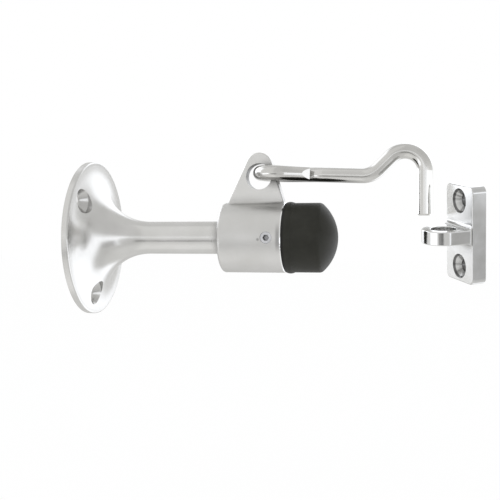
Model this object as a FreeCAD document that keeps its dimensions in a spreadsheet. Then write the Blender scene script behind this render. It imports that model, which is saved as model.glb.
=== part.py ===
import FreeCAD, Part
import math
import os
import Sketcher

# Wall door stop with hook and keeper, in millimetres.
# The origin is the centre of the round base's wall face. X runs along the stem to the bumper, Z is up,
# and the keeper stands beyond the end of the hook.

SIZES = [
    # base, flare and stem
    ("flange_diameter", 55.6),
    ("flange_thickness", 2.3),
    ("flange_edge_round", 0.5),
    ("flange_land", 1.3),
    ("stem_diameter", 11.6),
    ("neck_round", 1.0),
    # head, measured back from the bumper's nose
    ("projection", 91.0),
    ("bumper_length", 17.9),
    ("head_length", 22.7),
    ("head_diameter", 24.6),
    ("head_back_round", 1.2),
    ("head_lip_round", 0.45),
    ("socket_diameter", 17.0),
    ("socket_depth", 14.0),
    # wall screws
    ("screw_edge_distance", 7.0),
    ("screw_count", 3),
    ("screw_pattern_angle", 50.5),
    ("screw_hole_diameter", 5.0),
    ("countersink_diameter", 9.3),
    ("countersink_lift", 1.0),
    ("countersink_angle", 82.0),
    # ear that carries the hook: heights from the head's top, setbacks from the head's lip
    ("ear_thickness", 5.0),
    ("ear_height", 17.6),
    ("ear_top_radius", 4.7),
    ("ear_top_setback", 9.55),
    ("ear_back_setback", 21.2),
    ("ear_front_setback", 0.45),
    ("ear_sink", 0.7),
    ("ear_edge_round", 0.6),
    ("ear_root_round", 1.5),
    ("ear_hole_play", 4.05),
    ("ear_hole_setback", 9.55),
    ("ear_hole_height", 9.2),
    # bumper
    ("bumper_inset", 0.15),
    ("bumper_bead", 0.4),
    ("bumper_bead_width", 3.0),
    ("bumper_nose_radius", 16.0),
    ("bumper_shoulder_round", 2.0),
    ("shank_clearance", 0.1),
    # set screw that holds the bumper
    ("set_screw_diameter", 4.0),
    ("set_screw_setback", 5.1),
    ("set_screw_sink", 0.25),
    ("set_screw_hex", 2.0),
    ("set_screw_hex_depth", 1.6),
    ("set_screw_play", 0.05),
    # hook: the hinge is placed from the middle of the ear's hole, the rest from the hinge
    ("rod_diameter", 5.15),
    ("hinge_forward", 0.8),
    ("hinge_lift", 1.2),
    ("hook_droop", 2.3),
    ("eye_play", 1.1),
    ("eye_lead", 0.6),
    ("eye_taper", 25.0),
    ("tip_setback", 3.55),
    ("shank_bend_radius", 6.0),
    ("tip_flat_angle", 15.0),
    ("tip_flat_length", 3.0),
    ("bend_radius", 7.2),
    ("bend_angle", 46.7),
    ("crest_radius", 6.75),
    ("crest_place", 49.35),
    ("crest_height", 2.0),
    ("leg_length", 15.2),
    ("leg_chamfer", 0.5),
    # keeper
    ("plate_height", 31.9),
    ("plate_width", 16.0),
    ("plate_thickness", 4.9),
    ("plate_corner_round", 2.0),
    ("plate_edge_round", 0.4),
    ("lug_thickness", 4.5),
    ("lug_end_radius", 7.0),
    ("lug_reach", 5.8),
    ("lug_root_round", 1.6),
    ("lug_edge_round", 0.3),
    ("eye_hole_diameter", 8.2),
    ("keeper_screw_spacing", 21.7),
    ("keeper_screw_hole", 4.2),
    ("keeper_countersink", 8.1),
    ("keeper_gap", 15.45),
    ("keeper_offset", -5.5),
    ("keeper_drop", 20.85),
    ("keeper_yaw", 31.5),
    ("keeper_tilt", 11.0),
]

CUT_MARGIN = 1.0
TOUCH = 0.01
NO_ROUND = (0.0, None)

# Places that several pieces share, worked out from the sizes
LIP = "(Sizes.projection - Sizes.bumper_length)"
HEAD = "(Sizes.head_diameter / 2)"
FLARE = "((Sizes.flange_diameter - Sizes.stem_diameter) / 2 - Sizes.flange_land)"
SCREW_CIRCLE = "(Sizes.flange_diameter / 2 - Sizes.screw_edge_distance)"
BUMPER = "(Sizes.head_diameter / 2 - Sizes.bumper_inset)"
BUMPER_SHANK = "(Sizes.socket_diameter / 2 - Sizes.shank_clearance)"
SET_SCREW = LIP + " - Sizes.set_screw_setback"
EAR_HOLE = (LIP + " - Sizes.ear_hole_setback", HEAD + " + Sizes.ear_hole_height")
HINGE = (EAR_HOLE[0] + " + Sizes.hinge_forward", EAR_HOLE[1] + " + Sizes.hinge_lift")
EYE_RADIUS = "((Sizes.ear_thickness + Sizes.rod_diameter) / 2 + Sizes.eye_play)"
EYE_CENTRE = "(%s - Sizes.eye_lead)" % EYE_RADIUS
EYE_MEET = "(%s + %s / sin(Sizes.eye_taper))" % (EYE_CENTRE, EYE_RADIUS)
EYE_TIP = "(%s - Sizes.tip_setback)" % EYE_MEET
SHANK_START = "(%s + Sizes.shank_bend_radius * tan(Sizes.eye_taper / 2))" % EYE_MEET
LUG_EYE = "(-Sizes.plate_thickness - Sizes.lug_reach)"

doc = FreeCAD.newDocument("wall_door_stop")
sheet = doc.addObject("Spreadsheet::Sheet", "Sizes")
for row, (name, number) in enumerate(SIZES, start=1):
    sheet.set("A%d" % row, name)
    sheet.set("B%d" % row, str(number))
    sheet.setAlias("B%d" % row, name)
doc.recompute()


def size(name):
    return float(sheet.get(name))


def value(expression):
    return float(sheet.evalExpression(expression))


# Small helpers for bodies and sketches

def origin_plane(body, role):
    for feature in body.Origin.OriginFeatures:
        if feature.Role == role:
            return feature


def new_body(name):
    body = doc.addObject("PartDesign::Body", name)
    body.Label = name
    return body


def new_sketch(body, name, role):
    sketch = body.newObject("Sketcher::SketchObject", name)
    sketch.AttachmentSupport = [(origin_plane(body, role), "")]
    sketch.MapMode = "FlatFace"
    return sketch


def rule(sketch, *parts):
    return sketch.addConstraint(Sketcher.Constraint(*parts))


def measure(sketch, expression, *parts):
    """Adds a dimension and binds it to the sheet."""
    index = rule(sketch, *parts)
    sketch.setExpression("Constraints[%d]" % index, expression)
    return index


def at_x(sketch, geometry, point, distance, expression):
    """Holds a point at a signed distance from the sketch's vertical axis."""
    if expression is None:
        rule(sketch, "PointOnObject", geometry, point, -2)
    else:
        measure(sketch, expression, "DistanceX", -1, 1, geometry, point, distance)


def at_y(sketch, geometry, point, distance, expression):
    """Holds a point at a signed distance from the sketch's horizontal axis."""
    if expression is None:
        rule(sketch, "PointOnObject", geometry, point, -1)
    else:
        measure(sketch, expression, "DistanceY", -1, 1, geometry, point, distance)


def line(sketch, start, end, construction=False):
    return sketch.addGeometry(Part.LineSegment(FreeCAD.Vector(*start, 0), FreeCAD.Vector(*end, 0)), construction)


def arc(sketch, centre, radius, first, last):
    """Arc that runs anticlockwise between two angles in degrees."""
    circle = Part.Circle(FreeCAD.Vector(*centre, 0), FreeCAD.Vector(0, 0, 1), radius)
    return sketch.addGeometry(Part.ArcOfCircle(circle, math.radians(first), math.radians(last)), False)


def ring(sketch, centre, diameter, construction=False):
    circle = Part.Circle(FreeCAD.Vector(*centre, 0), FreeCAD.Vector(0, 0, 1), diameter / 2)
    return sketch.addGeometry(circle, construction)


def stepped_outline(sketch, steps):
    """Closed outline of upright and level lines in turn.

    Each step is (way, place, expression, rounding): way "x" is an upright line at that x and way "y" a
    level line at that y. The rounding is that of the corner to the next line, as (radius, expression).
    """
    count = len(steps)
    corners = []
    for i in range(count):
        here, after = steps[i], steps[(i + 1) % count]
        corner = (here[1], after[1]) if here[0] == "x" else (after[1], here[1])
        corners.append(corner)
    lines = []
    for i in range(count):
        start, end = corners[i - 1], corners[i]
        run = math.dist(start, end)
        way = ((end[0] - start[0]) / run, (end[1] - start[1]) / run)
        trim_start, trim_end = steps[i - 1][3][0], steps[i][3][0]
        first = (start[0] + way[0] * trim_start, start[1] + way[1] * trim_start)
        last = (end[0] - way[0] * trim_end, end[1] - way[1] * trim_end)
        lines.append((line(sketch, first, last), way, first, last))
    for i in range(count):
        way_name, place, expression, rounding = steps[i]
        index, way, first, last = lines[i]
        rule(sketch, "Vertical" if way_name == "x" else "Horizontal", index)
        hold = at_x if way_name == "x" else at_y
        hold(sketch, index, 1, place, expression)
        next_index, next_way, next_first, next_last = lines[(i + 1) % count]
        radius, radius_expression = rounding
        if radius == 0.0:
            rule(sketch, "Coincident", index, 2, next_index, 1)
            continue
        centre = (last[0] + next_way[0] * radius, last[1] + next_way[1] * radius)
        from_angle = math.degrees(math.atan2(last[1] - centre[1], last[0] - centre[0]))
        to_angle = math.degrees(math.atan2(next_first[1] - centre[1], next_first[0] - centre[0]))
        left_turn = way[0] * next_way[1] - way[1] * next_way[0] > 0
        if left_turn:
            bow = arc(sketch, centre, radius, from_angle, to_angle)
        else:
            bow = arc(sketch, centre, radius, to_angle, from_angle)
        rule(sketch, "Tangent", index, 2, bow, 1 if left_turn else 2)
        rule(sketch, "Tangent", bow, 2 if left_turn else 1, next_index, 1)
        measure(sketch, radius_expression, "Radius", bow, radius)


def pad(body, name, sketch, expression):
    feature = body.newObject("PartDesign::Pad", name)
    feature.Profile = sketch
    feature.Midplane = True
    feature.setExpression("Length", expression)
    return feature


def turn(body, name, sketch, kind, axis):
    """Revolution or Groove of a full turn about an axis."""
    feature = body.newObject("PartDesign::" + kind, name)
    feature.Profile = sketch
    feature.ReferenceAxis = axis
    feature.Angle = 360.0
    return feature


def round_edges(body, name, base, expression, wanted):
    """Rounds the edges of a feature for which wanted(edge) is true."""
    names = ["Edge%d" % (i + 1) for i, edge in enumerate(base.Shape.Edges) if wanted(edge)]
    feature = body.newObject("PartDesign::Fillet", name)
    feature.Base = (base, names)
    feature.setExpression("Radius", expression)
    doc.recompute()
    return feature


def must_cut(feature, before):
    """A cut that points away from its solid leaves it as it was."""
    doc.recompute()
    if feature.Shape.Volume >= before.Shape.Volume - 1e-6:
        raise RuntimeError(feature.Name + " cuts nothing")


# Casting: base, flare, stem, head and ear in one piece

def make_stop_body():
    body = new_body("stop_body")
    outline = new_sketch(body, "stop_outline", "XZ_Plane")
    flange = size("flange_diameter") / 2
    stem = size("stem_diameter") / 2
    socket = size("socket_diameter") / 2
    head, lip = value(HEAD), value(LIP)
    stepped_outline(outline, [
        ("x", 0.0, None, NO_ROUND),
        ("y", flange, "Sizes.flange_diameter / 2", (size("flange_edge_round"), "Sizes.flange_edge_round")),
        ("x", size("flange_thickness"), "Sizes.flange_thickness", (value(FLARE), FLARE)),
        ("y", stem, "Sizes.stem_diameter / 2", (size("neck_round"), "Sizes.neck_round")),
        ("x", lip - size("head_length"), LIP + " - Sizes.head_length",
         (size("head_back_round"), "Sizes.head_back_round")),
        ("y", head, HEAD, (size("head_lip_round"), "Sizes.head_lip_round")),
        ("x", lip, LIP, NO_ROUND),
        ("y", socket, "Sizes.socket_diameter / 2", NO_ROUND),
        ("x", lip - size("socket_depth"), LIP + " - Sizes.socket_depth", NO_ROUND),
        ("y", 0.0, None, NO_ROUND),
    ])
    turn(body, "turned_body", outline, "Revolution", (outline, ["H_Axis"]))
    doc.recompute()
    ear = add_ear(body)
    holes = cut_wall_screw_holes(body, ear)
    cut_set_screw_hole(body, holes)
    return body


def add_ear(body):
    """Flat ear: a foot sunk in the head, two straight sides, a round top and the hook's hole."""
    sketch = new_sketch(body, "ear_outline", "XZ_Plane")
    radius = size("ear_top_radius")
    top_height = HEAD + " + Sizes.ear_height - Sizes.ear_top_radius"
    centre = (value(LIP + " - Sizes.ear_top_setback"), value(top_height))
    foot = value(HEAD + " - Sizes.ear_sink")
    back = (value(LIP + " - Sizes.ear_back_setback"), foot)
    front = (value(LIP + " - Sizes.ear_front_setback"), foot)
    back_angle = tangent_angle(back, centre, radius, 1)
    front_angle = tangent_angle(front, centre, radius, -1)
    back_touch = on_circle(centre, radius, back_angle)
    front_touch = on_circle(centre, radius, front_angle)
    base = line(sketch, back, front)
    front_side = line(sketch, front, front_touch)
    top = arc(sketch, centre, radius, front_angle, back_angle)
    back_side = line(sketch, back_touch, back)
    rule(sketch, "Horizontal", base)
    rule(sketch, "Coincident", base, 2, front_side, 1)
    rule(sketch, "Tangent", front_side, 2, top, 1)
    rule(sketch, "Tangent", top, 2, back_side, 1)
    rule(sketch, "Coincident", back_side, 2, base, 1)
    measure(sketch, LIP + " - Sizes.ear_back_setback", "DistanceX", -1, 1, base, 1, back[0])
    measure(sketch, LIP + " - Sizes.ear_front_setback", "DistanceX", -1, 1, base, 2, front[0])
    measure(sketch, HEAD + " - Sizes.ear_sink", "DistanceY", -1, 1, base, 1, foot)
    measure(sketch, LIP + " - Sizes.ear_top_setback", "DistanceX", -1, 1, top, 3, centre[0])
    measure(sketch, top_height, "DistanceY", -1, 1, top, 3, centre[1])
    measure(sketch, "Sizes.ear_top_radius", "Radius", top, radius)
    ear = pad(body, "ear", sketch, "Sizes.ear_thickness")
    doc.recompute()
    ear = round_edges(body, "ear_edges", ear, "Sizes.ear_edge_round", is_ear_side)
    ear = round_edges(body, "ear_root", ear, "Sizes.ear_root_round", is_ear_root)

    hole_sketch = new_sketch(body, "ear_hole_outline", "XZ_Plane")
    middle = (value(EAR_HOLE[0]), value(EAR_HOLE[1]))
    diameter = value("Sizes.rod_diameter + Sizes.ear_hole_play")
    circle = ring(hole_sketch, middle, diameter)
    measure(hole_sketch, EAR_HOLE[0], "DistanceX", -1, 1, circle, 3, middle[0])
    measure(hole_sketch, EAR_HOLE[1], "DistanceY", -1, 1, circle, 3, middle[1])
    measure(hole_sketch, "Sizes.rod_diameter + Sizes.ear_hole_play", "Diameter", circle, diameter)
    through = body.newObject("PartDesign::Pocket", "ear_hole")
    through.Profile = hole_sketch
    through.Midplane = True
    through.setExpression("Length", "2 * Sizes.ear_thickness")
    must_cut(through, ear)
    return through


def tangent_angle(point, centre, radius, side):
    """Angle, seen from the centre, of the tangent point of a line from point to the circle."""
    away = math.dist(point, centre)
    toward = math.degrees(math.atan2(point[1] - centre[1], point[0] - centre[0]))
    return (toward - side * math.degrees(math.acos(radius / away))) % 360


def on_circle(centre, radius, angle):
    return (centre[0] + radius * math.cos(math.radians(angle)), centre[1] + radius * math.sin(math.radians(angle)))


def middle_of(edge):
    return edge.valueAt((edge.FirstParameter + edge.LastParameter) / 2)


def is_ear_side(edge):
    """Outline edges of the ear's two faces."""
    points = [vertex.Point for vertex in edge.Vertexes] + [middle_of(edge)]
    on_face = all(abs(abs(point.y) - size("ear_thickness") / 2) < TOUCH for point in points)
    return on_face and points[-1].z > value(HEAD)


def is_ear_root(edge):
    """Edges where the ear's faces and its back side meet the round head."""
    on_head = all(abs(math.hypot(vertex.Point.y, vertex.Point.z) - value(HEAD)) < TOUCH
                  for vertex in edge.Vertexes)
    middle = middle_of(edge)
    back = value(LIP + " - Sizes.ear_back_setback")
    front = value(LIP + " - Sizes.ear_front_setback - Sizes.ear_edge_round")
    inside = back <= middle.x <= front
    return on_head and inside and middle.z > 0 and TOUCH < abs(middle.y) <= size("ear_thickness") / 2 + TOUCH


def cut_wall_screw_holes(body, before):
    """One stepped cutter, turned round its own axis and repeated round the base."""
    sketch = new_sketch(body, "screw_cutter", "XZ_Plane")
    sketch.AttachmentOffset = FreeCAD.Placement(
        FreeCAD.Vector(0, 0, 0), FreeCAD.Rotation(FreeCAD.Vector(1, 0, 0), size("screw_pattern_angle")))
    sketch.setExpression("AttachmentOffset.Rotation.Angle", "Sizes.screw_pattern_angle")
    centre = value(SCREW_CIRCLE)
    hole = centre + size("screw_hole_diameter") / 2
    wide = centre + size("countersink_diameter") / 2
    edge = size("flange_thickness") + size("countersink_lift")
    slope = math.tan(math.radians(size("countersink_angle") / 2))
    narrow = edge - (wide - hole) / slope
    clear = value("Sizes.flange_thickness + " + FLARE)
    points = [(-CUT_MARGIN, centre), (-CUT_MARGIN, hole), (narrow, hole), (edge, wide), (clear, wide),
              (clear, centre)]
    sides = [line(sketch, points[i - 1], points[i]) for i in range(len(points))]
    for i in range(len(points)):
        rule(sketch, "Coincident", sides[i - 1], 2, sides[i], 1)
    closing, start, bore, cone, wall, end = sides
    for level in (closing, bore, wall):
        rule(sketch, "Horizontal", level)
    for upright in (start, end):
        rule(sketch, "Vertical", upright)
    measure(sketch, SCREW_CIRCLE, "DistanceY", -1, 1, closing, 2, centre)
    measure(sketch, "-%s" % CUT_MARGIN, "DistanceX", -1, 1, closing, 2, -CUT_MARGIN)
    measure(sketch, "Sizes.screw_hole_diameter / 2", "DistanceY", start, 1, start, 2, hole - centre)
    measure(sketch, "Sizes.countersink_diameter / 2", "DistanceY", end, 2, end, 1, wide - centre)
    measure(sketch, "Sizes.flange_thickness + Sizes.countersink_lift", "DistanceX", -1, 1, cone, 2, edge)
    measure(sketch, "Sizes.flange_thickness + " + FLARE, "DistanceX", -1, 1, end, 1, clear)
    measure(sketch, "(Sizes.countersink_diameter - Sizes.screw_hole_diameter) / 2"
            " / tan(Sizes.countersink_angle / 2)", "DistanceX", cone, 1, cone, 2, edge - narrow)
    axis = line(sketch, points[-1], points[0], True)
    rule(sketch, "Coincident", axis, 1, closing, 1)
    rule(sketch, "Coincident", axis, 2, closing, 2)
    groove = turn(body, "screw_hole", sketch, "Groove", (sketch, ["Axis0"]))
    must_cut(groove, before)
    pattern = body.newObject("PartDesign::PolarPattern", "screw_holes")
    pattern.Originals = [groove]
    pattern.Axis = (body.getObject("stop_outline"), ["H_Axis"])
    pattern.Angle = 360.0
    pattern.setExpression("Occurrences", "Sizes.screw_count")
    body.Tip = pattern
    must_cut(pattern, groove)
    return pattern


def cut_set_screw_hole(body, before):
    """Threaded hole through the head's wall, from the socket toward -Y."""
    sketch = new_sketch(body, "set_screw_hole_outline", "XZ_Plane")
    place = value(SET_SCREW)
    diameter = size("set_screw_diameter") + 2 * size("set_screw_play")
    circle = ring(sketch, (place, 0), diameter)
    measure(sketch, SET_SCREW, "DistanceX", -1, 1, circle, 3, place)
    rule(sketch, "PointOnObject", circle, 3, -1)
    measure(sketch, "Sizes.set_screw_diameter + 2 * Sizes.set_screw_play", "Diameter", circle, diameter)
    pocket = body.newObject("PartDesign::Pocket", "set_screw_hole")
    pocket.Profile = sketch
    pocket.Reversed = True
    pocket.setExpression("Length", "Sizes.head_diameter")
    must_cut(pocket, before)
    return pocket


# Rubber bumper with the shank that sits in the head's socket

def make_rubber_bumper():
    """Half outline from the shank's end to the nose, with a low bead next to the head's lip."""
    body = new_body("rubber_bumper")
    sketch = new_sketch(body, "bumper_outline", "XZ_Plane")
    tip, lip, radius = size("projection"), value(LIP), value(BUMPER)
    nose = size("bumper_nose_radius")
    bead = size("bumper_bead")
    bead_end = lip + size("bumper_bead_width")
    shank = value(BUMPER_SHANK)
    shank_end = lip - size("socket_depth") + size("shank_clearance")
    shoulder_round = size("bumper_shoulder_round")
    # centre of the shoulder's arc, which touches the side and the nose from inside
    shoulder_r = radius - shoulder_round
    shoulder_x = tip - nose + math.sqrt((nose - shoulder_round) ** 2 - shoulder_r ** 2)
    lean = math.degrees(math.atan2(shoulder_r, shoulder_x - (tip - nose)))
    points = [(shank_end, 0.0), (shank_end, shank), (lip, shank), (lip, radius), (bead_end, radius),
              (shoulder_x, radius)]
    axis_side = line(sketch, (tip, 0.0), points[0])
    end_face = line(sketch, points[0], points[1])
    shank_side = line(sketch, points[1], points[2])
    seat = line(sketch, points[2], points[3])
    width = size("bumper_bead_width")
    bead_radius = width ** 2 / (8 * bead) + bead / 2
    bead_middle = lip + width / 2
    bead_centre = (bead_middle, radius + bead - bead_radius)
    half = math.degrees(math.asin(width / 2 / bead_radius))
    bow = arc(sketch, bead_centre, bead_radius, 90 - half, 90 + half)
    side = line(sketch, points[4], points[5])
    shoulder = arc(sketch, (shoulder_x, shoulder_r), shoulder_round, lean, 90)
    cap = arc(sketch, (tip - nose, 0.0), nose, 0, lean)
    rule(sketch, "Coincident", axis_side, 2, end_face, 1)
    rule(sketch, "Coincident", end_face, 2, shank_side, 1)
    rule(sketch, "Coincident", shank_side, 2, seat, 1)
    rule(sketch, "Coincident", seat, 2, bow, 2)
    rule(sketch, "Coincident", bow, 1, side, 1)
    rule(sketch, "Tangent", side, 2, shoulder, 2)
    rule(sketch, "Tangent", shoulder, 1, cap, 2)
    rule(sketch, "Coincident", cap, 1, axis_side, 1)
    rule(sketch, "PointOnObject", axis_side, 1, -1)
    rule(sketch, "PointOnObject", axis_side, 2, -1)
    rule(sketch, "PointOnObject", cap, 3, -1)
    rule(sketch, "Vertical", end_face)
    rule(sketch, "Vertical", seat)
    rule(sketch, "Horizontal", shank_side)
    rule(sketch, "Horizontal", side)
    measure(sketch, "Sizes.projection", "DistanceX", -1, 1, axis_side, 1, tip)
    measure(sketch, LIP, "DistanceX", -1, 1, seat, 1, lip)
    measure(sketch, "Sizes.socket_depth - Sizes.shank_clearance", "DistanceX", shank_side, 1, shank_side, 2,
            lip - shank_end)
    measure(sketch, BUMPER_SHANK, "DistanceY", -1, 1, seat, 1, shank)
    measure(sketch, BUMPER, "DistanceY", -1, 1, seat, 2, radius)
    measure(sketch, BUMPER, "DistanceY", -1, 1, side, 1, radius)
    measure(sketch, "Sizes.bumper_bead_width", "DistanceX", bow, 2, bow, 1, width)
    measure(sketch, "Sizes.bumper_bead_width ^ 2 / (8 * Sizes.bumper_bead) + Sizes.bumper_bead / 2",
            "Radius", bow, bead_radius)
    measure(sketch, "Sizes.bumper_shoulder_round", "Radius", shoulder, shoulder_round)
    measure(sketch, "Sizes.bumper_nose_radius", "Radius", cap, nose)
    turn(body, "turned_bumper", sketch, "Revolution", (sketch, ["H_Axis"]))
    return body


# Hexagon-socket set screw; its tip rests on the bumper's shank

def make_set_screw():
    body = new_body("bumper_set_screw")
    inner = BUMPER_SHANK + " + Sizes.set_screw_play"
    length = "%s - Sizes.set_screw_sink - (%s)" % (HEAD, inner)
    sketch = new_sketch(body, "set_screw_outline", "XY_Plane")
    circle = ring(sketch, (0, 0), size("set_screw_diameter"))
    rule(sketch, "Coincident", circle, 3, -1, 1)
    measure(sketch, "Sizes.set_screw_diameter", "Diameter", circle, size("set_screw_diameter"))
    screw = body.newObject("PartDesign::Pad", "screw_blank")
    screw.Profile = sketch
    screw.setExpression("Length", length)
    doc.recompute()
    hexagon = new_sketch(body, "hexagon", "XY_Plane")
    hexagon.setExpression("AttachmentOffset.Base.z", length)
    across_corners = size("set_screw_hex") / math.cos(math.radians(30))
    corners = [on_circle((0, 0), across_corners / 2, 60 * i) for i in range(6)]
    sides = [line(hexagon, corners[i - 1], corners[i]) for i in range(6)]
    rim = ring(hexagon, (0, 0), across_corners, True)
    rule(hexagon, "Coincident", rim, 3, -1, 1)
    measure(hexagon, "Sizes.set_screw_hex / cos(30)", "Diameter", rim, across_corners)
    for i in range(6):
        rule(hexagon, "Coincident", sides[i - 1], 2, sides[i], 1)
        rule(hexagon, "PointOnObject", sides[i], 1, rim)
    for i in range(5):
        rule(hexagon, "Equal", sides[i], sides[i + 1])
    rule(hexagon, "PointOnObject", sides[0], 2, -1)
    socket = body.newObject("PartDesign::Pocket", "hexagon_socket")
    socket.Profile = hexagon
    socket.setExpression("Length", "Sizes.set_screw_hex_depth")
    must_cut(socket, screw)
    body.Placement = FreeCAD.Placement(FreeCAD.Vector(0, 0, 0), FreeCAD.Rotation(FreeCAD.Vector(1, 0, 0), 90))
    body.setExpression("Placement.Base.x", SET_SCREW)
    body.setExpression("Placement.Base.y", "-(%s)" % inner)
    return body


# Hook: one rod, bent to a closed eye at one end and to a crest and a straight leg at the other.
# In its own frame the hinge is the Y axis and the shank runs along X.

def make_hook():
    body = new_body("hook")
    section = new_sketch(body, "rod_section", "YZ_Plane")
    section.setExpression("AttachmentOffset.Base.z", SHANK_START)
    circle = ring(section, (0, 0), size("rod_diameter"))
    rule(section, "Coincident", circle, 3, -1, 1)
    measure(section, "Sizes.rod_diameter", "Diameter", circle, size("rod_diameter"))
    sweep(body, "shank", section, shank_path(body))
    eye = sweep(body, "eye", section, eye_path(body))
    flat = grind_tip_flat(body, eye)
    end = body.newObject("PartDesign::Chamfer", "leg_end")
    lowest = min(range(len(flat.Shape.Edges)), key=lambda i: flat.Shape.Edges[i].CenterOfMass.z)
    end.Base = (flat, ["Edge%d" % (lowest + 1)])
    end.setExpression("Size", "Sizes.leg_chamfer")
    must_cut(end, flat)
    body.Placement = FreeCAD.Placement(FreeCAD.Vector(0, 0, 0),
                                       FreeCAD.Rotation(FreeCAD.Vector(0, 1, 0), size("hook_droop")))
    body.setExpression("Placement.Base.x", HINGE[0])
    body.setExpression("Placement.Base.z", HINGE[1])
    body.setExpression("Placement.Rotation.Angle", "Sizes.hook_droop")
    return body


def sweep(body, name, section, path):
    doc.recompute()
    pipe = body.newObject("PartDesign::AdditivePipe", name)
    pipe.Profile = section
    pipe.Spine = (path, ["Edge%d" % (i + 1) for i in range(path.GeometryCount)])
    doc.recompute()
    return pipe


def shank_path(body):
    """Shank, upward bend, crest and leg in the XZ plane, outward from the eye."""
    sketch = new_sketch(body, "shank_path", "XZ_Plane")
    bend, crest = size("bend_radius"), size("crest_radius")
    angle = size("bend_angle")
    centre = (size("crest_place"), size("crest_height"))
    start = (value(SHANK_START), 0.0)
    # the slope touches the crest's arc, and the bend joins it to the level shank
    slope_end = on_circle(centre, crest, 90 + angle)
    meet = slope_end[0] - slope_end[1] / math.tan(math.radians(angle))
    tangent = bend * math.tan(math.radians(angle / 2))
    bend_start = (meet - tangent, 0.0)
    bend_end = (meet + tangent * math.cos(math.radians(angle)), tangent * math.sin(math.radians(angle)))
    leg_way = -90 + size("hook_droop")
    leg_start = on_circle(centre, crest, leg_way + 90)
    length = size("leg_length")
    leg_end = (leg_start[0] + length * math.cos(math.radians(leg_way)),
               leg_start[1] + length * math.sin(math.radians(leg_way)))
    level = line(sketch, start, bend_start)
    up = arc(sketch, (bend_start[0], bend), bend, -90, -90 + angle)
    slope = line(sketch, bend_end, slope_end)
    over = arc(sketch, centre, crest, leg_way + 90, 90 + angle)
    leg = line(sketch, leg_start, leg_end)
    rule(sketch, "PointOnObject", level, 1, -1)
    rule(sketch, "Horizontal", level)
    rule(sketch, "Tangent", level, 2, up, 1)
    rule(sketch, "Tangent", up, 2, slope, 1)
    rule(sketch, "Tangent", slope, 2, over, 2)
    rule(sketch, "Tangent", over, 1, leg, 1)
    measure(sketch, SHANK_START, "DistanceX", -1, 1, level, 1, start[0])
    measure(sketch, "Sizes.bend_radius", "Radius", up, bend)
    measure(sketch, "Sizes.crest_radius", "Radius", over, crest)
    measure(sketch, "Sizes.crest_place", "DistanceX", -1, 1, over, 3, centre[0])
    measure(sketch, "Sizes.crest_height", "DistanceY", -1, 1, over, 3, centre[1])
    measure(sketch, "Sizes.bend_angle * 1 deg", "Angle", slope, math.radians(angle))
    measure(sketch, "Sizes.leg_length", "Distance", leg, length)
    measure(sketch, "(Sizes.hook_droop - 90) * 1 deg", "Angle", leg, math.radians(leg_way))
    return sketch


def eye_path(body):
    """Closed eye in the XY plane: from the shank outward and round to the tip at the shank's near side."""
    sketch = new_sketch(body, "eye_path", "XY_Plane")
    radius, bend = value(EYE_RADIUS), size("shank_bend_radius")
    taper = size("eye_taper")
    centre = (value(EYE_CENTRE), 0.0)
    meet, start, seam = value(EYE_MEET), value(SHANK_START), value(EYE_TIP)
    far_touch = on_circle(centre, radius, 90 - taper)
    near_touch = on_circle(centre, radius, taper - 90)
    bend_out = on_circle((meet, 0.0), start - meet, 180 - taper)
    tip = (seam, (seam - meet) * math.tan(math.radians(taper)))
    jog = arc(sketch, (start, bend), bend, 270 - taper, 270)
    far_side = line(sketch, bend_out, far_touch)
    loop = arc(sketch, centre, radius, 90 - taper, 270 + taper)
    near_side = line(sketch, near_touch, tip)
    rule(sketch, "PointOnObject", jog, 2, -1)
    rule(sketch, "Vertical", jog, 2, jog, 3)
    rule(sketch, "Tangent", jog, 1, far_side, 1)
    rule(sketch, "Tangent", far_side, 2, loop, 1)
    rule(sketch, "Tangent", loop, 2, near_side, 1)
    rule(sketch, "PointOnObject", loop, 3, -1)
    measure(sketch, "Sizes.shank_bend_radius", "Radius", jog, bend)
    measure(sketch, EYE_RADIUS, "Radius", loop, radius)
    measure(sketch, EYE_CENTRE, "DistanceX", -1, 1, loop, 3, centre[0])
    measure(sketch, "Sizes.eye_taper * 1 deg", "Angle", near_side, math.radians(taper))
    measure(sketch, "(180 - Sizes.eye_taper) * 1 deg", "Angle", far_side, math.radians(180 - taper))
    measure(sketch, EYE_TIP, "DistanceX", -1, 1, near_side, 2, seam)
    return sketch


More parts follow.
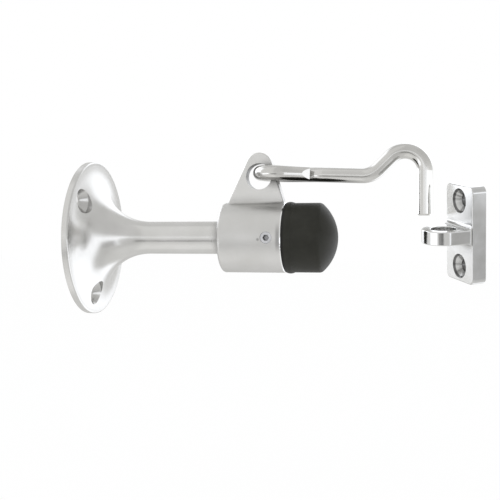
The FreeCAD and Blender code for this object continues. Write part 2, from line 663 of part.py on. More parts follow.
def grind_tip_flat(body, before):
    """Small flat on the outer side of the eye's tip; its depth grows toward the tip's end."""
    sketch = new_sketch(body, "tip_flat_outline", "XY_Plane")
    taper, angle = size("eye_taper"), size("tip_flat_angle")
    tip = (value(EYE_TIP), -size("tip_setback") * math.tan(math.radians(taper)))
    rim = on_circle(tip, size("rod_diameter") / 2, taper - 90)
    start = on_circle(rim, size("tip_flat_length"), taper + 180)
    deep = on_circle(rim, size("tip_flat_length") * math.tan(math.radians(angle)), taper + 90)
    below = on_circle(rim, CUT_MARGIN, taper - 90)
    slope = line(sketch, start, deep)
    end = line(sketch, deep, below)
    back = line(sketch, below, start)
    for first, second in ((slope, end), (end, back), (back, slope)):
        rule(sketch, "Coincident", first, 2, second, 1)
    measure(sketch, "(Sizes.eye_taper + Sizes.tip_flat_angle) * 1 deg", "Angle", slope,
            math.radians(taper + angle))
    measure(sketch, "(Sizes.eye_taper - 90) * 1 deg", "Angle", end, math.radians(taper - 90))
    measure(sketch, "%s + Sizes.tip_flat_length * tan(Sizes.tip_flat_angle)" % CUT_MARGIN, "Distance", end,
            math.dist(deep, below))
    measure(sketch, "Sizes.tip_flat_length / cos(Sizes.tip_flat_angle)", "Distance", slope,
            math.dist(start, deep))
    across = "(Sizes.rod_diameter / 2 - Sizes.tip_flat_length * tan(Sizes.tip_flat_angle))"
    measure(sketch, "%s + sin(Sizes.eye_taper) * %s" % (EYE_TIP, across), "DistanceX", -1, 1, slope, 2, deep[0])
    measure(sketch, "-Sizes.tip_setback * tan(Sizes.eye_taper) - cos(Sizes.eye_taper) * " + across,
            "DistanceY", -1, 1, slope, 2, deep[1])
    flat = body.newObject("PartDesign::Pocket", "tip_flat")
    flat.Profile = sketch
    flat.Midplane = True
    flat.setExpression("Length", "Sizes.rod_diameter")
    must_cut(flat, before)
    return flat


# Keeper: a plate with two screw holes and a lug whose upright eye takes the hook's leg.
# In its own frame the back face is the YZ plane and the lug points along -X.

def make_keeper():
    body = new_body("keeper")
    outline = new_sketch(body, "plate_outline", "YZ_Plane")
    wide, high = size("plate_width") / 2, size("plate_height") / 2
    corner = (size("plate_corner_round"), "Sizes.plate_corner_round")
    stepped_outline(outline, [
        ("x", -wide, "-Sizes.plate_width / 2", corner),
        ("y", high, "Sizes.plate_height / 2", corner),
        ("x", wide, "Sizes.plate_width / 2", corner),
        ("y", -high, "-Sizes.plate_height / 2", corner),
    ])
    plate = body.newObject("PartDesign::Pad", "plate")
    plate.Profile = outline
    plate.Reversed = True
    plate.setExpression("Length", "Sizes.plate_thickness")
    doc.recompute()
    front = -size("plate_thickness")
    plate = round_edges(body, "plate_edges", plate, "Sizes.plate_edge_round",
                        lambda edge: abs(edge.CenterOfMass.x - front) < TOUCH)
    lug = add_lug(body)
    holes = cut_keeper_screw_holes(body, lug)
    body.Placement = FreeCAD.Placement(
        FreeCAD.Vector(0, 0, 0),
        FreeCAD.Rotation(FreeCAD.Vector(1, 0, 0), size("keeper_tilt"))
        * FreeCAD.Rotation(FreeCAD.Vector(0, 0, 1), size("keeper_yaw")))
    body.setExpression("Placement.Base.x",
                       HINGE[0] + " + Sizes.crest_place + Sizes.crest_radius + Sizes.keeper_gap")
    body.setExpression("Placement.Base.y", "Sizes.keeper_offset")
    body.setExpression("Placement.Base.z", HINGE[1] + " - Sizes.keeper_drop")
    return body


def add_lug(body):
    """Lug across the plate's middle with a round end and an upright eye."""
    sketch = new_sketch(body, "lug_outline", "XY_Plane")
    front = -size("plate_thickness")
    half = size("plate_width") / 2 - size("plate_edge_round")
    radius = size("lug_end_radius")
    centre = (value(LUG_EYE), 0.0)
    low, high = (front, -half), (front, half)
    high_angle = tangent_angle(high, centre, radius, -1)
    low_angle = tangent_angle(low, centre, radius, 1)
    root = line(sketch, low, high)
    high_side = line(sketch, high, on_circle(centre, radius, high_angle))
    end = arc(sketch, centre, radius, high_angle, low_angle)
    low_side = line(sketch, on_circle(centre, radius, low_angle), low)
    rule(sketch, "Vertical", root)
    rule(sketch, "Coincident", root, 2, high_side, 1)
    rule(sketch, "Tangent", high_side, 2, end, 1)
    rule(sketch, "Tangent", end, 2, low_side, 1)
    rule(sketch, "Coincident", low_side, 2, root, 1)
    rule(sketch, "PointOnObject", end, 3, -1)
    measure(sketch, "-Sizes.plate_thickness", "DistanceX", -1, 1, root, 1, front)
    measure(sketch, LUG_EYE, "DistanceX", -1, 1, end, 3, centre[0])
    measure(sketch, "Sizes.plate_width / 2 - Sizes.plate_edge_round", "DistanceY", -1, 1, root, 2, half)
    measure(sketch, "Sizes.plate_edge_round - Sizes.plate_width / 2", "DistanceY", -1, 1, root, 1, -half)
    measure(sketch, "Sizes.lug_end_radius", "Radius", end, radius)
    lug = pad(body, "lug", sketch, "Sizes.lug_thickness")
    doc.recompute()

    hole_sketch = new_sketch(body, "eye_hole_outline", "XY_Plane")
    circle = ring(hole_sketch, centre, size("eye_hole_diameter"))
    rule(hole_sketch, "PointOnObject", circle, 3, -1)
    measure(hole_sketch, LUG_EYE, "DistanceX", -1, 1, circle, 3, centre[0])
    measure(hole_sketch, "Sizes.eye_hole_diameter", "Diameter", circle, size("eye_hole_diameter"))
    hole = body.newObject("PartDesign::Pocket", "eye_hole")
    hole.Profile = hole_sketch
    hole.Midplane = True
    hole.setExpression("Length", "2 * Sizes.lug_thickness")
    must_cut(hole, lug)
    edges = round_edges(body, "lug_edges", hole, "Sizes.lug_edge_round",
                        lambda edge: on_lug_face(edge) and edge.CenterOfMass.x < front - TOUCH)
    return round_edges(body, "lug_root", edges, "Sizes.lug_root_round",
                       lambda edge: on_lug_face(edge) and abs(edge.CenterOfMass.x - front) < TOUCH)


def on_lug_face(edge):
    """Edges of the lug's upper and lower faces."""
    return abs(abs(edge.CenterOfMass.z) - size("lug_thickness") / 2) < TOUCH


def cut_keeper_screw_holes(body, before):
    """Countersunk hole in the plate's upper half, and its mirror image in the lower half."""
    sketch = new_sketch(body, "keeper_screw_cutter", "XZ_Plane")
    centre = size("keeper_screw_spacing") / 2
    hole = centre + size("keeper_screw_hole") / 2
    wide = centre + size("keeper_countersink") / 2
    front = -size("plate_thickness")
    depth = (wide - hole) / math.tan(math.radians(size("countersink_angle") / 2))
    points = [(CUT_MARGIN, centre), (CUT_MARGIN, hole), (front + depth, hole), (front, wide),
              (front - CUT_MARGIN, wide), (front - CUT_MARGIN, centre)]
    sides = [line(sketch, points[i - 1], points[i]) for i in range(len(points))]
    for i in range(len(points)):
        rule(sketch, "Coincident", sides[i - 1], 2, sides[i], 1)
    closing, start, bore, cone, wall, end = sides
    for level in (closing, bore, wall):
        rule(sketch, "Horizontal", level)
    for upright in (start, end):
        rule(sketch, "Vertical", upright)
    measure(sketch, "Sizes.keeper_screw_spacing / 2", "DistanceY", -1, 1, closing, 2, centre)
    measure(sketch, "%s" % CUT_MARGIN, "DistanceX", -1, 1, closing, 2, CUT_MARGIN)
    measure(sketch, "Sizes.keeper_screw_hole / 2", "DistanceY", start, 1, start, 2, hole - centre)
    measure(sketch, "Sizes.keeper_countersink / 2", "DistanceY", end, 2, end, 1, wide - centre)
    measure(sketch, "-Sizes.plate_thickness", "DistanceX", -1, 1, cone, 2, front)
    measure(sketch, "-Sizes.plate_thickness - %s" % CUT_MARGIN, "DistanceX", -1, 1, end, 1, front - CUT_MARGIN)
    measure(sketch, "(Sizes.keeper_countersink - Sizes.keeper_screw_hole) / 2"
            " / tan(Sizes.countersink_angle / 2)", "DistanceX", cone, 2, cone, 1, depth)
    axis = line(sketch, points[-1], points[0], True)
    rule(sketch, "Coincident", axis, 1, closing, 1)
    rule(sketch, "Coincident", axis, 2, closing, 2)
    groove = turn(body, "keeper_screw_hole_cut", sketch, "Groove", (sketch, ["Axis0"]))
    must_cut(groove, before)
    mirrored = body.newObject("PartDesign::Mirrored", "keeper_screw_holes")
    mirrored.Originals = [groove]
    mirrored.MirrorPlane = (origin_plane(body, "XY_Plane"), [""])
    body.Tip = mirrored
    must_cut(mirrored, groove)
    return mirrored


def check_and_export(bodies):
    for thing in doc.Objects:
        if "Invalid" in thing.State or "Error" in thing.State:
            raise RuntimeError("%s did not build: %s" % (thing.Name, thing.State))
    os.makedirs("parts", exist_ok=True)
    for body in bodies:
        if body.Shape.isNull() or not body.Shape.isValid() or len(body.Shape.Solids) != 1:
            raise RuntimeError(body.Label + " is not one valid solid")
        body.Shape.exportStep("parts/%s.step" % body.Label)
        box = body.Shape.optimalBoundingBox()
        print("%-18s %9.1f mm3  x %.2f..%.2f  y %.2f..%.2f  z %.2f..%.2f" % (
            body.Label, body.Shape.Volume, box.XMin, box.XMax, box.YMin, box.YMax, box.ZMin, box.ZMax))


pieces = [make_stop_body(), make_rubber_bumper(), make_set_screw(), make_hook(), make_keeper()]
doc.recompute()
check_and_export(pieces)
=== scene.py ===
import math

import bmesh
import bpy
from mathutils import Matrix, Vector

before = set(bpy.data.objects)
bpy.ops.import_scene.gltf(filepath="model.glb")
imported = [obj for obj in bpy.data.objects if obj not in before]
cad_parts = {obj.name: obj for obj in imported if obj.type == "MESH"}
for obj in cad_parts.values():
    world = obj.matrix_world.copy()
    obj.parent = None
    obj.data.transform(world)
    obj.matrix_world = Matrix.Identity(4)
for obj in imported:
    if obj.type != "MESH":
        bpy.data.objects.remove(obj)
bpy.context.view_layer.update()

# Camera: level with the stem's axis, looking past the bumper toward the base
CAMERA_PLACE = (0.1331, -0.3284, 0.0)
CAMERA_TURN = 14.38
CAMERA_LENS = 68.4
CAMERA_SHIFT = (0.06, -0.0246)
CAMERA_SENSOR = 36.0
CAMERA_CLIP_START = 0.01

# Keeper: middle of its back, direction of its face, height of the face and its two screw holes
KEEPER_BACK = (0.1359, -0.0055, 0.00185)
KEEPER_FACING = (-0.85264, -0.512899, -0.099697)
KEEPER_THICKNESS = 0.0049
KEEPER_HOLES = ((0.13477, -0.00825, 0.01237), (0.13477, -0.00411, -0.00893))
COUNTERSINK_RADIUS = 0.00405
CONE_DEPTH = 0.0012
RING_WIDTH = 0.0006
LUG_ROOT = (KEEPER_THICKNESS + 0.0002, KEEPER_THICKNESS + 0.0016)

# Head: back, top, front, where its turned lip starts, and a small dent beside the set screw
HEAD_BACK = 0.0505
HEAD_TOP = 0.0123
HEAD_FRONT = 0.0731
LIP_START = 0.07265
DENT = (0.0652, -0.0123, -0.0006)

# Middle of a soft spot of light painted on the flare, which makes the plating paler there
FLARE_LIGHT_SPOT = (0.0033, -0.0195, 0.0008)

# Hook: the stretch of its underside above the bumper, which gets painted shade, and the leg that faces
# the keeper, which gets painted light
OVER_BUMPER = (0.070, 0.099)
LEG_START = 0.1190
LEG_TOP = 0.0245

# Colours: the two tones between which the cloudy noise of each piece moves
CASTING_TONES = ((0.595, 0.592, 0.578, 1.0), (0.655, 0.65, 0.642, 1.0))
HOOK_TONES = ((0.56, 0.555, 0.54, 1.0), (0.64, 0.635, 0.62, 1.0))
KEEPER_TONES = ((0.55, 0.55, 0.54, 1.0), (0.61, 0.61, 0.61, 1.0))
RUBBER_TONES = ((0.019, 0.019, 0.015, 1.0), (0.026, 0.026, 0.021, 1.0))
SCREW_TONES = ((0.42, 0.42, 0.43, 1.0), (0.60, 0.60, 0.62, 1.0))
# Painted highlight along the head's turned lip
LIP_HIGHLIGHT_COLOUR = (0.96, 0.96, 0.96, 1.0)

# Shares of the colour on single parts: below one is painted shade, above one is painted light
CREVICE_SHADE_SHARE = 0.12
EAR_LIGHT_SHARE = 1.12
FLARE_LIGHT_SHARE = 1.28
KEEPER_FRONT_LIGHT_SHARE = 1.4
LUG_LIGHT_SHARE = 1.15
CONE_SHADE_SHARE = 0.25
GROOVE_SHADE_SHARE = 0.35
SOCKET_SHADE_SHARE = 0.15

# Colour that the painted shade beside the lip and the dent take away from the casting, and that painted
# light adds to the hook's leg
MARK_AND_SHADE_LOSS = 0.4
LEG_LIGHT_GAIN = 0.35

# Roughness: one value, or the two ends between which noise moves it
STEM_ROUGHNESS = 0.24
HEAD_ROUGHNESS = 0.42
LIP_POLISH = 0.28
HOOK_ROUGHNESS = (0.12, 0.17)
LEG_POLISH = 0.03
PLATE_ROUGHNESS = 0.18
LUG_ROUGHNESS = 0.13
KEEPER_FRONT_BLUR = 0.06
RUBBER_ROUGHNESS = (0.42, 0.56)
SCREW_ROUGHNESS = (0.14, 0.26)

# Noise keeps mostly between these two values
NOISE_SPAN = (0.3, 0.7)

# Floor: its size and place, its matt white, and how much of it the camera sees as plain white
FLOOR_WIDTH = 6.0
FLOOR_DEPTH = 4.0
FLOOR_HEIGHT = -0.095
FLOOR_FRONT = -0.42
FLOOR_COLOUR = (0.9, 0.9, 0.9, 1.0)
FLOOR_GLOW = 0.93

# World: level and colour of the room and of the pale sheets in it
STUDIO_LEVEL = 0.8
SHEET_LEVEL = 0.95
ROOM_COLOUR = (1.0, 0.998, 0.985, 1.0)
SHEET_COLOUR = (0.95, 0.98, 1.05, 1.0)
WHITE = (1.0, 1.0, 1.0, 1.0)

# Point at which both lamps look
LAMP_TARGET = (0.06, 0.0, 0.0)


# Node helpers

class Nodes:
    """Node tree with short ways to add and join nodes."""

    def __init__(self, tree):
        self.tree = tree

    def add(self, kind, **settings):
        node = self.tree.nodes.new("ShaderNode" + kind)
        for key, setting in settings.items():
            setattr(node, key, setting)
        return node

    def join(self, start, end):
        self.tree.links.new(start, end)

    def feed(self, value, socket):
        """Gives a socket another node's output, or else a plain number or colour."""
        if isinstance(value, bpy.types.NodeSocket):
            self.join(value, socket)
        else:
            socket.default_value = value

    def math(self, operation, *values):
        node = self.add("Math", operation=operation)
        for value, socket in zip(values, node.inputs):
            self.feed(value, socket)
        return node.outputs[0]

    def product(self, first, *others):
        for factor in others:
            first = self.math("MULTIPLY", first, factor)
        return first

    def total(self, first, *others):
        for part in others:
            first = self.math("ADD", first, part)
        return first

    def split(self, vector):
        """The three parts of a vector."""
        node = self.add("SeparateXYZ")
        self.join(vector, node.inputs[0])
        return node.outputs["X"], node.outputs["Y"], node.outputs["Z"]

    def spread(self, value, low, high, new_low, new_high, soft=False):
        """Moves a value from one range to another and holds it there."""
        node = self.add("MapRange", interpolation_type="SMOOTHSTEP" if soft else "LINEAR")
        self.join(value, node.inputs["Value"])
        for name, number in (("From Min", low), ("From Max", high),
                             ("To Min", new_low), ("To Max", new_high)):
            node.inputs[name].default_value = number
        return node.outputs["Result"]

    def rise(self, value, low, high):
        """Nothing below a range and one above it, with a soft step between."""
        return self.spread(value, low, high, 0.0, 1.0, True)

    def fall(self, value, low, high):
        """One below a range and nothing above it, with a soft step between."""
        return self.spread(value, low, high, 1.0, 0.0, True)

    def window(self, value, low, high, soft):
        """One between two values, falling softly to nothing outside them."""
        return self.product(self.rise(value, low - soft, low + soft),
                            self.fall(value, high - soft, high + soft))

    def share_on(self, part, share):
        """The given share where a part is one, and one where it is nothing."""
        return self.spread(part, 0.0, 1.0, 1.0, share)

    def noise(self, place, scale, detail=3.0, roughness=0.5):
        node = self.add("TexNoise")
        self.join(place, node.inputs["Vector"])
        node.inputs["Scale"].default_value = scale
        node.inputs["Detail"].default_value = detail
        node.inputs["Roughness"].default_value = roughness
        return node.outputs["Fac"]

    def vary(self, noise, low, high):
        """Value that a noise moves between two ends."""
        return self.spread(noise, *NOISE_SPAN, low, high)

    def place(self):
        """Position on the piece in metres, which stays with it when it moves."""
        return self.add("TexCoord").outputs["Object"]

    def facing(self):
        """Direction in which the surface looks, which turns with the piece."""
        return self.add("TexCoord").outputs["Normal"]

    def distance(self, place, point):
        node = self.add("VectorMath", operation="DISTANCE")
        self.join(place, node.inputs[0])
        node.inputs[1].default_value = point
        return node.outputs["Value"]

    def from_point(self, place, point, operation, direction):
        """Distance from a point, along a direction (DOT_PRODUCT) or across it (CROSS_PRODUCT)."""
        offset = self.add("VectorMath", operation="SUBTRACT")
        self.join(place, offset.inputs[0])
        offset.inputs[1].default_value = point
        product = self.add("VectorMath", operation=operation)
        self.join(offset.outputs[0], product.inputs[0])
        product.inputs[1].default_value = direction
        if operation == "DOT_PRODUCT":
            return product.outputs["Value"]
        length = self.add("VectorMath", operation="LENGTH")
        self.join(product.outputs[0], length.inputs[0])
        return length.outputs["Value"]

    def openness(self, reach):
        """Nothing in a deep corner, one on an open face."""
        node = self.add("AmbientOcclusion", samples=8)
        node.inputs["Distance"].default_value = reach
        return node.outputs["AO"]

    def mix(self, factor, first, second, blend_type="MIX"):
        """Mix of two colours."""
        node = self.add("Mix", data_type="RGBA", blend_type=blend_type)
        for name, value in (("Factor", factor), ("A", first), ("B", second)):
            self.feed(value, node.inputs[name])
        return node.outputs["Result"]

    def darken(self, colour, share):
        """Colour times a share, which also makes it paler where the share is above one."""
        grey = self.add("CombineColor")
        for socket in grey.inputs[:3]:
            self.join(share, socket)
        return self.mix(1.0, colour, grey.outputs[0], "MULTIPLY")

    def bump(self, height, strength, distance, normal=None):
        node = self.add("Bump")
        node.inputs["Strength"].default_value = strength
        node.inputs["Distance"].default_value = distance
        self.join(height, node.inputs["Height"])
        if normal is not None:
            self.join(normal, node.inputs["Normal"])
        return node.outputs["Normal"]


class Shader(Nodes):
    """Node tree of one material."""

    def __init__(self, name):
        self.material = bpy.data.materials.new(name)
        self.material.use_nodes = True
        super().__init__(self.material.node_tree)
        self.bsdf = self.tree.nodes["Principled BSDF"]
        self.output = self.tree.nodes["Material Output"]

    def surface(self, colour, roughness, normal):
        """Joins the finished values to the material's surface."""
        self.join(colour, self.bsdf.inputs["Base Color"])
        self.join(roughness, self.bsdf.inputs["Roughness"])
        self.join(normal, self.bsdf.inputs["Normal"])


# Materials

def crevice_shade_share(shader):
    """Share of the metal's colour left in holes and corners, where shade is painted."""
    return shader.spread(shader.openness(0.005), 0.35, 0.9, CREVICE_SHADE_SHARE, 1.0)


def turning_rings(shader, x, y, z):
    """Fine rings round the stem's axis, which drift a little on their way round."""
    across = shader.math("POWER", shader.total(shader.math("POWER", y, 2.0),
                                               shader.math("POWER", z, 2.0)), 0.5)
    around = shader.math("ARCTAN2", y, z)
    turned = shader.add("CombineXYZ")
    shader.join(x, turned.inputs["X"])
    shader.join(across, turned.inputs["Y"])
    shader.join(shader.product(around, 0.0004), turned.inputs["Z"])
    return shader.noise(turned.outputs[0], 5200.0, 2.0, 0.6)


def casting_share(shader, place, x, z):
    """Share of the casting's colour: less at the painted shade beside the lip and at the dent, more
    where light is painted on the ear and a spot of the flare.
    """
    # Painted shade in a band beside the lip; the dent is a real mark
    lip_shade = shader.product(shader.window(x, LIP_START - 0.0013, LIP_START, 0.0005),
                           shader.window(z, -0.0035, 0.0035, 0.0025))
    dent = shader.fall(shader.distance(place, DENT), 0.0002, 0.0007)
    share_after_marks_and_shade = shader.math("SUBTRACT", 1.0, shader.product(shader.total(lip_shade, dent), MARK_AND_SHADE_LOSS))
    # Painted light on the ear
    ear_light = shader.product(shader.rise(x, HEAD_BACK - 0.002, HEAD_BACK),
                            shader.rise(z, HEAD_TOP, HEAD_TOP + 0.001))
    # Painted light in a soft spot on the flare
    from_spot = shader.distance(place, FLARE_LIGHT_SPOT)
    pale = shader.spread(from_spot, 0.0025, 0.0070, FLARE_LIGHT_SHARE, 1.0, True)
    return shader.product(share_after_marks_and_shade, shader.share_on(ear_light, EAR_LIGHT_SHARE), pale, crevice_shade_share(shader))


def satin_casting():
    """Turned and satin-plated casting: faint rings round the stem's axis, soft cloudy sheen, painted
    shade in holes and corners and beside the lip, painted light on the ear and a spot of the flare, and
    a painted highlight on the lip.
    """
    shader = Shader("satin_casting")
    place = shader.place()
    x, y, z = shader.split(place)
    rings = turning_rings(shader, x, y, z)
    cloud = shader.noise(place, 90.0, 4.0, 0.55)
    grain = shader.noise(place, 6500.0, 2.0, 0.5)
    lip = shader.rise(x, LIP_START - 0.0001, LIP_START + 0.0001)
    colour = shader.mix(shader.vary(cloud, 0.0, 1.0), *CASTING_TONES)
    colour = shader.darken(colour, casting_share(shader, place, x, z))
    # Painted highlight: the lip's narrow band turns nearly white
    colour = shader.mix(lip, colour, LIP_HIGHLIGHT_COLOUR)
    blasted = shader.spread(x, HEAD_BACK - 0.004, HEAD_BACK, STEM_ROUGHNESS, HEAD_ROUGHNESS, True)
    finish = shader.math("SUBTRACT", blasted, shader.product(lip, LIP_POLISH))
    roughness = shader.total(finish, shader.vary(rings, -0.03, 0.03))
    normal = shader.bump(rings, 0.10, 0.00002)
    normal = shader.bump(grain, 0.05, 0.00001, normal)
    shader.surface(colour, roughness, normal)
    shader.bsdf.inputs["Metallic"].default_value = 1.0
    return shader.material


def hook_underside_shade(shader, x, facing_z):
    """Painted shade and painted reflection of the dark bumper: colour lost on the underside above the
    bumper, and most where it is least open.
    """
    underside = shader.fall(facing_z, -0.8, -0.5)
    over_bumper = shader.window(x, *OVER_BUMPER, 0.005)
    loss = shader.spread(shader.openness(0.014), 0.45, 0.95, -0.8, -0.4)
    return shader.product(underside, over_bumper, loss)


def hook_leg_light_and_polish(shader, x, z, facing_x):
    """One on the side of the leg that faces the keeper, where light is painted and the roughness is
    lower.
    """
    on_leg = shader.product(shader.rise(x, LEG_START, LEG_START + 0.001),
                            shader.fall(z, LEG_TOP - 0.004, LEG_TOP + 0.004))
    return shader.product(on_leg, shader.rise(facing_x, 0.2, 0.5))


def hook_rod():
    """Drawn and bent rod, plated: painted shade on the underside above the bumper, painted light and
    lower roughness on the side of the leg that faces the keeper.
    """
    shader = Shader("hook_rod")
    place = shader.place()
    x, _, z = shader.split(place)
    facing_x, _, facing_z = shader.split(shader.facing())
    cloud = shader.noise(place, 140.0, 3.0, 0.5)
    grain = shader.noise(place, 5200.0, 2.0, 0.5)
    leg_light_and_polish = hook_leg_light_and_polish(shader, x, z, facing_x)
    # Painted shade on the underside above the bumper and painted light on the leg by the keeper
    share = shader.total(hook_underside_shade(shader, x, facing_z), 1.0, shader.product(leg_light_and_polish, LEG_LIGHT_GAIN))
    colour = shader.mix(shader.vary(cloud, 0.0, 1.0), *HOOK_TONES)
    roughness = shader.math("SUBTRACT", shader.vary(cloud, *HOOK_ROUGHNESS),
                            shader.product(leg_light_and_polish, LEG_POLISH))
    shader.surface(shader.darken(colour, share), roughness, shader.bump(grain, 0.06, 0.00001))
    shader.bsdf.inputs["Metallic"].default_value = 1.0
    return shader.material


def keeper_front(shader, height):
    """One on the plate's front, and nothing on its sides, its back and the lug."""
    facing = shader.add("VectorMath", operation="DOT_PRODUCT")
    shader.join(shader.facing(), facing.inputs[0])
    facing.inputs[1].default_value = KEEPER_FACING
    return shader.product(
        shader.rise(facing.outputs["Value"], 0.9, 0.98),
        shader.spread(height, KEEPER_THICKNESS, KEEPER_THICKNESS + 0.0005, 1.0, 0.0))


def cone_shade_rings(shader, place, height):
    """Share of the keeper's colour left in a ring inside the edge of each countersink, where shade is
    painted.
    """
    in_cone = shader.window(height, KEEPER_THICKNESS - CONE_DEPTH, KEEPER_THICKNESS - 0.00003, 0.00002)
    share = 1.0
    for hole in KEEPER_HOLES:
        from_axis = shader.from_point(place, hole, "CROSS_PRODUCT", KEEPER_FACING)
        ring = shader.window(from_axis, COUNTERSINK_RADIUS - RING_WIDTH, COUNTERSINK_RADIUS, 0.0001)
        ring = shader.product(ring, in_cone)
        share = shader.product(share, shader.share_on(ring, CONE_SHADE_SHARE))
    return share


def keeper_metal():
    """Plated keeper: painted light on its face and lug, a polished lug, and painted shade in its corners
    and in a ring inside each countersink's edge.
    """
    shader = Shader("keeper_metal")
    place = shader.place()
    cloud = shader.noise(place, 160.0, 3.0, 0.5)
    peel = shader.noise(place, 1500.0, 2.0, 0.5)
    height = shader.from_point(place, KEEPER_BACK, "DOT_PRODUCT", KEEPER_FACING)
    front = keeper_front(shader, height)
    # Painted light on the lug
    lug = shader.spread(height, *LUG_ROOT, 1.0, LUG_LIGHT_SHARE, True)
    # Painted light on the plate's front
    share = shader.product(crevice_shade_share(shader), shader.share_on(front, KEEPER_FRONT_LIGHT_SHARE), lug,
                           cone_shade_rings(shader, place, height))
    colour = shader.mix(shader.vary(cloud, 0.0, 1.0), *KEEPER_TONES)
    roughness = shader.total(shader.spread(height, *LUG_ROOT, PLATE_ROUGHNESS, LUG_ROUGHNESS, True),
                             shader.product(front, KEEPER_FRONT_BLUR), shader.vary(cloud, -0.02, 0.03))
    shader.surface(shader.darken(colour, share), roughness, shader.bump(peel, 0.05, 0.00002))
    shader.bsdf.inputs["Metallic"].default_value = 1.0
    return shader.material


def black_rubber():
    """Moulded rubber: fine grain and a dull sheen, with painted shade in the groove at the head."""
    shader = Shader("black_rubber")
    place = shader.place()
    x, _, _ = shader.split(place)
    cloud = shader.noise(place, 170.0, 4.0, 0.6)
    grain = shader.noise(place, 4200.0, 3.0, 0.6)
    pits = shader.noise(place, 1300.0, 2.0, 0.5)
    colour = shader.mix(shader.spread(cloud, 0.35, 0.7, 0.0, 1.0), *RUBBER_TONES)
    # Painted shade in the groove beside the head
    groove_shade = shader.spread(x, HEAD_FRONT + 0.0004, HEAD_FRONT + 0.0012, GROOVE_SHADE_SHARE, 1.0, True)
    normal = shader.bump(grain, 0.25, 0.00003)
    normal = shader.bump(pits, 0.12, 0.00006, normal)
    shader.surface(shader.darken(colour, groove_shade), shader.vary(grain, *RUBBER_ROUGHNESS), normal)
    shader.bsdf.inputs["Specular IOR Level"].default_value = 0.2
    return shader.material


def screw_steel():
    """Zinc-plated set screw, duller than the casting, with painted shade down in its socket."""
    shader = Shader("screw_steel")
    cloud = shader.noise(shader.place(), 900.0, 3.0, 0.6)
    colour = shader.mix(shader.vary(cloud, 0.0, 1.0), *SCREW_TONES)
    # Painted shade down in the socket
    share = shader.spread(shader.openness(0.0015), 0.3, 0.8, SOCKET_SHADE_SHARE, 1.0)
    shader.surface(shader.darken(colour, share), shader.vary(cloud, *SCREW_ROUGHNESS),
                   shader.bump(cloud, 0.1, 0.00003))
    shader.bsdf.inputs["Metallic"].default_value = 1.0
    return shader.material


MATERIALS = {
    "stop_body": satin_casting,
    "hook": hook_rod,
    "keeper": keeper_metal,
    "rubber_bumper": black_rubber,
    "bumper_set_screw": screw_steel,
}


def dress_nodes():
    for name, make in MATERIALS.items():
        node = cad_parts[name]
        material = make()
        node.data.materials.clear()
        node.data.materials.append(material)
        for face in node.data.polygons:
            face.material_index = 0


# Floor

def floor_mesh():
    """Flat grid that starts in front of the camera and runs back past the object."""
    mesh = bpy.data.meshes.new("floor")
    shape = bmesh.new()
    bmesh.ops.create_grid(shape, x_segments=8, y_segments=8, size=0.5)
    for vertex in shape.verts:
        vertex.co.x = vertex.co.x * FLOOR_WIDTH
        vertex.co.y = FLOOR_FRONT + (vertex.co.y + 0.5) * FLOOR_DEPTH
        vertex.co.z = FLOOR_HEIGHT
    shape.to_mesh(mesh)
    shape.free()
    return mesh


def pale_floor():
    """Matt white, which the camera sees nearly as the plain white of the background."""
    shader = Shader("pale_floor")
    shader.bsdf.inputs["Base Color"].default_value = FLOOR_COLOUR
    shader.bsdf.inputs["Roughness"].default_value = 0.9
    shader.bsdf.inputs["Specular IOR Level"].default_value = 0.1
    glow = shader.add("Emission")
    glow.inputs["Color"].default_value = WHITE
    path = shader.add("LightPath")
    mix = shader.add("MixShader")
    shader.join(shader.product(path.outputs["Is Camera Ray"], FLOOR_GLOW), mix.inputs["Fac"])
    shader.join(shader.bsdf.outputs[0], mix.inputs[1])
    shader.join(glow.outputs[0], mix.inputs[2])
    shader.join(mix.outputs[0], shader.output.inputs["Surface"])
    return shader.material


def make_floor():
    floor = bpy.data.objects.new("floor", floor_mesh())
    bpy.context.scene.collection.objects.link(floor)
    floor.data.materials.append(pale_floor())
    floor.visible_glossy = False


# World, whose sheets and shades are all given by elevation and azimuth in degrees

def heading(nodes):
    """Elevation and azimuth in degrees of the direction in which the world is seen."""
    x, y, z = nodes.split(nodes.add("TexCoord").outputs["Generated"])
    elevation = nodes.math("DEGREES", nodes.math("ARCSINE", z))
    azimuth = nodes.math("DEGREES", nodes.math("ARCTAN2", y, x))
    return elevation, azimuth


def edge(nodes, along, corners):
    """Place of a sheet's edge in degrees, straight from one corner to the next."""
    place = corners[0][1]
    for (start, low), (end, high) in zip(corners, corners[1:]):
        place = nodes.total(nodes.spread(along, start, end, 0.0, high - low), place)
    return place


def between(nodes, value, low, high, soft_low, soft_high):
    """One between two edges that change along the sheet, with its own softness at each."""
    above = nodes.rise(nodes.math("SUBTRACT", value, low), -soft_low, soft_low)
    below = nodes.fall(nodes.math("SUBTRACT", value, high), -soft_high, soft_high)
    return nodes.product(above, below)


def low_sheet(nodes, elevation, azimuth):
    """Sheet at the object's height: a narrow strip past the camera that widens down to the right."""
    top = edge(nodes, azimuth, [(-110, 4), (-60, 6), (-30, 4), (58, 4), (62, -2)])
    bottom = edge(nodes, azimuth, [(-110, 2), (-75, 0), (-50, -8), (-20, -11),
                                   (-10, -20), (0, -25), (30, -30), (50, -50)])
    sheet = between(nodes, elevation, bottom, top, 4.0, 3.0)
    return nodes.product(sheet, nodes.window(azimuth, -116.0, 76.0, 6.0))


def high_sheet(nodes, elevation, azimuth):
    """Sheet behind on the right, with a slanting left edge."""
    left = edge(nodes, elevation, [(8, 59), (28, 48), (36, 50), (50, 66)])
    sheet = between(nodes, azimuth, left, 99.0, 3.0, 9.0)
    return nodes.product(sheet, nodes.window(elevation, 7.5, 44.0, 4.0))


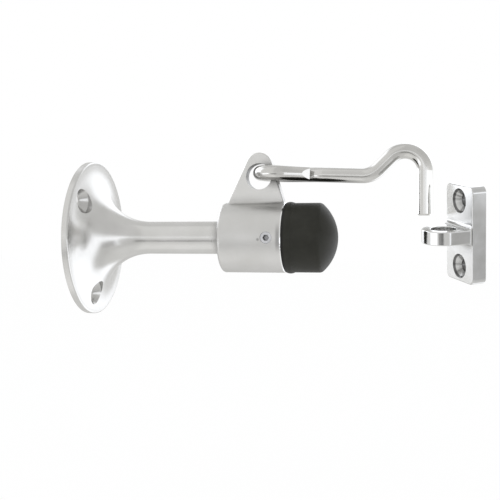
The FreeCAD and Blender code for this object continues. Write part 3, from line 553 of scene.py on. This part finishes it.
def wall_sheet(nodes, elevation, azimuth):
    """Pale wall on the left, behind the base, which the keeper's face and the back of the head show."""
    turned = nodes.math("FLOORED_MODULO", azimuth, 360.0)
    height = nodes.product(nodes.window(elevation, -40.0, 45.0, 12.0),
                           nodes.spread(elevation, -7.0, 1.0, 0.0, 1.7))
    return nodes.product(nodes.window(turned, 125.0, 190.0, 8.0), height)


def small_sheet(nodes, elevation, azimuth):
    """Small sheet low on the left, seen in the round end of the keeper's lug."""
    return nodes.product(nodes.window(azimuth, -162.0, -124.0, 3.0),
                         nodes.window(elevation, -24.0, -10.0, 3.0))


def narrow_sheet(nodes, elevation, azimuth):
    """Narrow upright sheet, seen as the streak along the hook's shank before its tip."""
    return nodes.product(nodes.window(azimuth, -54.0, -47.5, 2.0),
                         nodes.window(elevation, -32.0, -8.0, 3.0))


def upper_shade(nodes, elevation, azimuth):
    """Darker stretch of the room above the low sheet."""
    return nodes.product(nodes.window(azimuth, -60.0, 50.0, 12.0),
                         nodes.window(elevation, 12.0, 56.0, 8.0))


def lower_shade(nodes, elevation, azimuth):
    """Darker stretch of the room below the low sheet."""
    return nodes.product(nodes.window(azimuth, -52.0, -18.0, 6.0),
                         nodes.window(elevation, -26.0, -13.0, 2.0))


def dark_panel(nodes, elevation, azimuth):
    """Small dark panel under the camera, seen in the round end of the keeper's lug."""
    return nodes.product(nodes.window(azimuth, -116.0, -88.0, 3.0),
                         nodes.window(elevation, -27.0, -17.0, 2.0))


def pale_ground(nodes, elevation, azimuth):
    """Light that comes back from the ground below the object."""
    return nodes.fall(elevation, -55.0, -38.0)


def left_room(nodes, elevation, azimuth):
    """Paler side of the room, past the camera on the left."""
    return nodes.fall(azimuth, -110.0, -92.0)


SHEETS = (low_sheet, high_sheet, wall_sheet, small_sheet, narrow_sheet)

# Parts of the room, with the level that each adds
ROOM_PARTS = (
    (upper_shade, -0.06),
    (lower_shade, -0.27),
    (dark_panel, -0.62),
    (pale_ground, 0.12),
    (left_room, 0.17),
)


def studio_light(nodes):
    """Room and sheets as the metal shows them."""
    elevation, azimuth = heading(nodes)
    room = STUDIO_LEVEL
    for make, level in ROOM_PARTS:
        room = nodes.total(nodes.product(make(nodes, elevation, azimuth), level), room)
    sheets = 0.0
    for make in SHEETS:
        sheets = nodes.total(make(nodes, elevation, azimuth), sheets)
    sheets = nodes.product(sheets, SHEET_LEVEL)
    studio = nodes.add("AddShader")
    for level, colour, socket in zip((room, sheets), (ROOM_COLOUR, SHEET_COLOUR), studio.inputs):
        light = nodes.add("Background")
        light.inputs["Color"].default_value = colour
        nodes.join(level, light.inputs["Strength"])
        nodes.join(light.outputs[0], socket)
    return studio.outputs[0]


def make_world():
    """Plain grey studio with pale sheets for the metal to show, and white for the camera."""
    world = bpy.data.worlds.new("studio")
    bpy.context.scene.world = world
    world.use_nodes = True
    nodes = Nodes(world.node_tree)
    nodes.tree.nodes.clear()
    plain = nodes.add("Background")
    plain.inputs["Color"].default_value = WHITE
    path = nodes.add("LightPath")
    mix = nodes.add("MixShader")
    output = nodes.add("OutputWorld")
    nodes.join(path.outputs["Is Camera Ray"], mix.inputs["Fac"])
    nodes.join(studio_light(nodes), mix.inputs[1])
    nodes.join(plain.outputs[0], mix.inputs[2])
    nodes.join(mix.outputs[0], output.inputs["Surface"])


# Lamps and camera

def add_softbox(name, place, side, power):
    """Square lamp that looks at the middle of the object and isn't seen in the metal."""
    light = bpy.data.lights.new(name, "AREA")
    light.shape = "SQUARE"
    light.size = side
    light.energy = power
    lamp = bpy.data.objects.new(name, light)
    bpy.context.scene.collection.objects.link(lamp)
    lamp.location = place
    lamp.rotation_euler = (Vector(LAMP_TARGET) - Vector(place)).to_track_quat("-Z", "Y").to_euler()
    lamp.visible_glossy = False


def make_camera():
    data = bpy.data.cameras.new("camera")
    data.lens = CAMERA_LENS
    data.sensor_width = CAMERA_SENSOR
    data.shift_x, data.shift_y = CAMERA_SHIFT
    data.clip_start = CAMERA_CLIP_START
    camera = bpy.data.objects.new("camera", data)
    bpy.context.scene.collection.objects.link(camera)
    camera.location = CAMERA_PLACE
    camera.rotation_euler = (math.radians(90), 0, math.radians(CAMERA_TURN))
    bpy.context.scene.camera = camera


dress_nodes()
make_floor()
make_world()
add_softbox("key_light", place=(-0.35, -0.55, 0.75), side=0.7, power=0.6)
add_softbox("fill_light", place=(0.65, -0.25, 0.45), side=0.6, power=0.3)
make_camera()

bpy.context.scene.view_settings.view_transform = "Standard"
